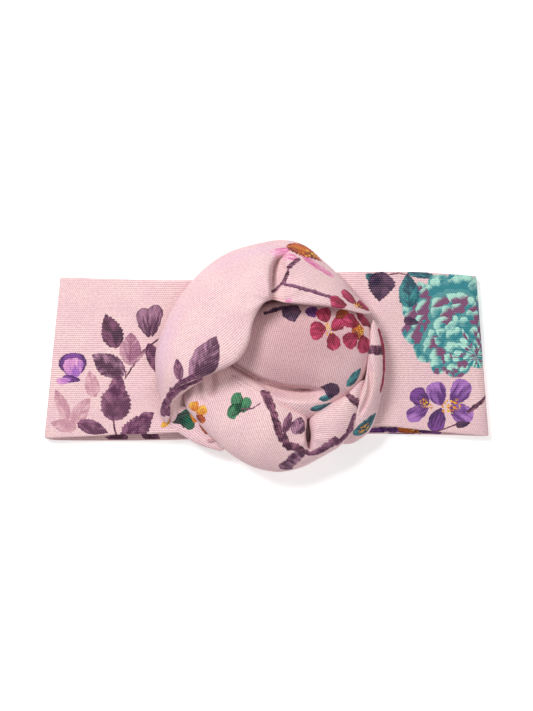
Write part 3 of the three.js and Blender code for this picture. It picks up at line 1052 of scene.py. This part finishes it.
# Under the knot on the front, and near the seam on the back
MIDDLE_PRINT = [
    ("leaf", (-28, 18), 60, 20, 13, 0.2, PLUM),
    ("leaf", (-38, 2), 170, 16, 10, 0.1, MAUVE),
    ("petal", (6, 14), 20, 14, 11, 0.2, VIOLET),
    ("petal", (-4, 18), 130, 13, 10, 0.2, VIOLET_DARK),
    ("petal", (0, 6), 260, 14, 10, 0.2, VIOLET),
    ("stamens", (1, 12), 0, 9, 8, 4.0, GOLD),
    *stroke([(8, -4), (18, -18), (36, -26)], 1.4, BARK),
    ("leaf", (26, -14), 35, 14, 8, 0.0, TEAL),
    ("leaf", (-16, -26), 220, 18, 12, 0.15, SHADED_PLUM),
    *stroke([(-8, -20), (-2, -10), (0, 0)], 1.2, BARK),
]
BAND_PRINT = LEFT_PRINT + RIGHT_BAND_PRINT + MIDDLE_PRINT
PRINT_REPEAT = 232.0


LINING_PRINT = [
    *stroke([(183, -39.6), (174, -38.4), (164, -38.6)], 3.6, VIOLET_DARK),
    ("petal", (159.6, -38.4), 10, 12, 6, 0.3, RUST),
    ("stamens", (158, -38.6), 0, 8, 4, 3.0, GOLD),
    ("petal", (149, -39.4), 180, 12, 5, 0.3, VIOLET_DARK),
    ("leaf", (-156, -42.4), 0, 12, 5, 0.2, PLUM),
    ("leaf", (-173, -41.8), 20, 12, 6, 0.2, DEEP_PLUM),
    ("leaf", (140, 10), 60, 20, 13, 0.2, PLUM),
    ("leaf", (-146, -4), 120, 20, 13, 0.2, PLUM),
]


def add_band():
    section, on_lining = band_section()
    points, flat = band_piece(section)
    rings, around = points.shape[:2]
    shaped = points.reshape(-1, 3)
    x, y, z = shaped.T.copy()
    on_front = step(z, 8, 9.5)
    near_knot = np.exp(-((np.abs(x) - 58).clip(0) / 20) ** 2)
    spoke = np.arctan2(y, np.abs(x) - 40)
    slack = near_knot * 0.4 * np.sin(9 * spoke + 0.7) - 1.2 * np.exp(-(((np.abs(x) - 86) / 16) ** 2))
    shaped[:, 2] += on_front * (slack + rolling(shaped * (1, 1, 0), 6, 60, 0.5))
    shaped[:, 2] += step(-z, -0.5, 0.5) * 0.5 * np.exp(-((x / 1.2) ** 2))  # the back seam
    shaped[:, 2] *= 1.12 - 0.54 * step(np.abs(x), 40, 120)  # raised by the knot, flatter at the ends
    piece = make_piece("band", shaped, tube_faces(rings, around, looped=True), None,
                       nodes=("band_outer_ply", "band_lining_ply"))
    mesh = piece.data
    layer = mesh.uv_layers.new(name=CLOTH_MAP)
    vertex = np.empty(len(mesh.loops), int)
    mesh.loops.foreach_get("vertex_index", vertex)
    spots = flat.reshape(-1, 2)[vertex]
    # A face over the seam takes its whole place on the cloth from one side of it.
    corners = spots.reshape(-1, 4, 2)
    over_seam = np.ptp(corners[..., 0], axis=1) > FOLD_LENGTH
    own = corners[over_seam]
    moved = shaped[vertex].reshape(-1, 4, 3)[over_seam][..., 0]
    corners[over_seam, :, 0] = own[:, :1, 0] - (moved - moved[:, :1])
    layer.data.foreach_set("uv", corners.ravel())
    mesh.materials.clear()
    mesh.materials.append(cloth_material("band_cloth", BAND_PRINT, repeat=PRINT_REPEAT))
    mesh.materials.append(cloth_material("band_lining_cloth", LINING_PRINT))
    mesh.polygons.foreach_set("material_index", np.tile(on_lining, rings).astype(int))
    return piece


# ---------------------------------------------------------------------------
# What the knot and the band hide


def strap_piece(name, path, width, thickness, crimp, motifs, nodes):
    """A strip of cloth that follows a path of (y, z), with its width along x. crimp is the height of its gathers."""
    spine = smooth(path, 90)
    x = np.linspace(-width / 2, width / 2, 200)
    way = np.gradient(spine, axis=0)
    way /= np.linalg.norm(way, axis=1)[:, None]
    gathers = crimp * (np.sin(x * 1.1) + 0.5 * np.sin(x * 1.9 + 1.0)) / 1.5
    run = np.r_[0, np.cumsum(np.linalg.norm(np.diff(spine, axis=0), axis=1))]
    rings, flats = [], []
    for (y, z), (along_y, along_z), length in zip(spine, way, run):
        upper, lower = gathers + thickness / 2, gathers - thickness / 2
        xs, offset = np.r_[x, x[::-1]], np.r_[upper, lower[::-1]]
        rings.append(np.column_stack([xs, y - along_z * offset, z + along_y * offset]))
        flats.append(np.column_stack([xs, length + 0 * xs]))
    faces = tube_faces(len(rings), 2 * len(x))
    piece = make_piece(name, np.vstack(rings), faces, None, nodes=nodes)
    mesh = piece.data
    layer = mesh.uv_layers.new(name=CLOTH_MAP)
    vertex = np.empty(len(mesh.loops), int)
    mesh.loops.foreach_get("vertex_index", vertex)
    layer.data.foreach_set("uv", np.vstack(flats)[vertex].ravel())
    mesh.materials.clear()
    mesh.materials.append(cloth_material(name + "_cloth", motifs))
    return piece


PASS_WIDTH = 60.0
PASS_PATH = [
    (-43.6, 15.5), (-44, 12.6), (-43, 10.2), (-40, 9.4), (-20, 9.2), (0, 9.2), (20, 9.2), (40, 9.4),
    (43.4, 10.2), (44.6, 12.6), (44.2, 15.5),
]
PASS_PRINT = [("leaf", (-12, 30), 70, 20, 13, 0.1, PLUM), ("leaf", (14, 66), 20, 16, 10, 0.1, TEAL)]

SEAM_WIDTH = 12.0
SEAM_PATH = [(-38.8, 2.95), (-20, 2.93), (0, 2.93), (20, 2.93), (36.8, 2.95)]


def thread_material():
    """Matt two-ply sewing thread."""
    material = bpy.data.materials.new("sewing_thread")
    material.use_nodes = True
    tree = material.node_tree
    shader = tree.nodes["Principled BSDF"]
    spot = tree.nodes.new("ShaderNodeTexCoord")
    place = Wire(tree, spot.outputs["Object"])
    x, y, z = parts(place)
    twist = ((x + y + z) * THREAD_TWIST).wave()
    fibres = noise(place, 9000.0, 2.0)
    colour = mix((twist * 0.3 + fibres).rise(0.3, 0.9), ink(150, 104, 128), ink(206, 162, 184))
    feed(tree, shader.inputs["Base Color"], colour)
    shader.inputs["Roughness"].default_value = 0.65
    bump = tree.nodes.new("ShaderNodeBump")
    bump.inputs["Strength"].default_value = 0.6
    bump.inputs["Distance"].default_value = 0.0001
    feed(tree, bump.inputs["Height"], twist * 0.5 + fibres * 0.5)
    feed(tree, shader.inputs["Normal"], Wire(tree, bump.outputs[0]))
    return material


THREAD_TWIST = 2 * math.pi / 0.0007  # radians for each metre along the thread
THREAD_NODES = ("back_seam_overlock_thread", "tack_stitch_1", "tack_stitch_2", "tack_stitch_3", "tack_stitch_4")


def finish_threads():
    material = thread_material()
    for name in THREAD_NODES:
        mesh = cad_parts[name].data
        mesh.materials.clear()
        mesh.materials.append(material)


# ---------------------------------------------------------------------------
# Floor, light and camera

FRAME_WIDTH, FRAME_HEIGHT = 533, 711
VIEW_WIDTH = 0.2742  # of the floor, across the image
CAMERA_HEIGHT = 1.3


def studio():
    floor_mesh = bpy.data.meshes.new("floor")
    size = 4.0
    floor_mesh.from_pydata([(-size, -size, 0), (size, -size, 0), (size, size, 0), (-size, size, 0)], [], [(0, 1, 2, 3)])
    floor = bpy.data.objects.new("floor", floor_mesh)
    bpy.context.scene.collection.objects.link(floor)
    paper = bpy.data.materials.new("floor_paper")
    paper.use_nodes = True
    shader = paper.node_tree.nodes["Principled BSDF"]
    shader.inputs["Base Color"].default_value = (0.97, 0.97, 0.97, 1)
    shader.inputs["Roughness"].default_value = 0.9
    shader.inputs["Emission Color"].default_value = (1.0, 1.0, 1.0, 1)
    shader.inputs["Emission Strength"].default_value = 0.3
    floor_mesh.materials.append(paper)

    world = bpy.data.worlds.new("studio")
    bpy.context.scene.world = world
    world.use_nodes = True
    world.node_tree.nodes["Background"].inputs["Color"].default_value = (1.0, 0.985, 0.98, 1)
    world.node_tree.nodes["Background"].inputs["Strength"].default_value = 0.29

    def softbox(name, place, width, power):
        light = bpy.data.lights.new(name, "AREA")
        light.shape = "SQUARE"
        light.size = width
        light.energy = power
        lamp = bpy.data.objects.new(name, light)
        lamp.location = place
        direction = -np.array(place)
        lamp.rotation_euler = look_along(direction)
        bpy.context.scene.collection.objects.link(lamp)

    softbox("key", (-0.36, 0.38, 0.74), 0.3, 6.6)
    softbox("fill", (0.55, -0.32, 1.05), 1.0, 5.0)


def look_along(direction):
    return Vector(direction).to_track_quat("-Z", "Y").to_euler()


def camera():
    data = bpy.data.cameras.new("camera")
    data.sensor_fit = "HORIZONTAL"
    data.sensor_width = 36
    data.lens = 36 * CAMERA_HEIGHT / VIEW_WIDTH
    data.clip_start = 0.01
    data.clip_end = 20
    eye = bpy.data.objects.new("camera", data)
    eye.location = (0, 0, CAMERA_HEIGHT + PRESSED * MM)
    bpy.context.scene.collection.objects.link(eye)
    bpy.context.scene.camera = eye


add_band()
fold_piece("knot_wrap", WRAP, wrap_sculpt, WRAP_PRINT, 22, ("knot_left_wrap", "knot_upper_lobe"), (0.03, 0.03),
           fullness=(0.92, 0.55))
fold_piece("knot_core", CORE, hem_sculpt, [], 0, ("knot_core_roll",), counts=COARSE)
fold_piece("knot_wrap_hem", HEM, hem_sculpt, HEM_PRINT, 22, end_round=(0.1, 0.1), counts=COARSE)
fold_piece("knot_wrap_pocket", POCKET, hem_sculpt, [], 22, end_round=(0.1, 0.1), counts=COARSE)
fold_piece("knot_dome", DOME, dome_sculpt, DOME_PRINT_AND_SHADE, 64, ("knot_centre_dome",))
fold_piece("knot_lower", LOWER, lower_sculpt, LOWER_PRINT, -48, ("knot_lower_loop", "knot_right_inner_fold"))
fold_piece("knot_right", RIGHT, right_sculpt, RIGHT_PRINT, 60, ("knot_right_outer_loop",))
fold_piece("knot_loose_end", TAIL, tail_sculpt, TAIL_PRINT, -35, ("knot_tail",))
strap_piece("knot_pass", PASS_PATH, PASS_WIDTH, 1.4, 0.25, PASS_PRINT, ("knot_inner_pass",))
strap_piece("back_seam", SEAM_PATH, SEAM_WIDTH, 0.95, 0.02, [], ("back_seam_allowance",))
finish_threads()
studio()
camera()
bpy.context.scene.view_settings.view_transform = "Standard"
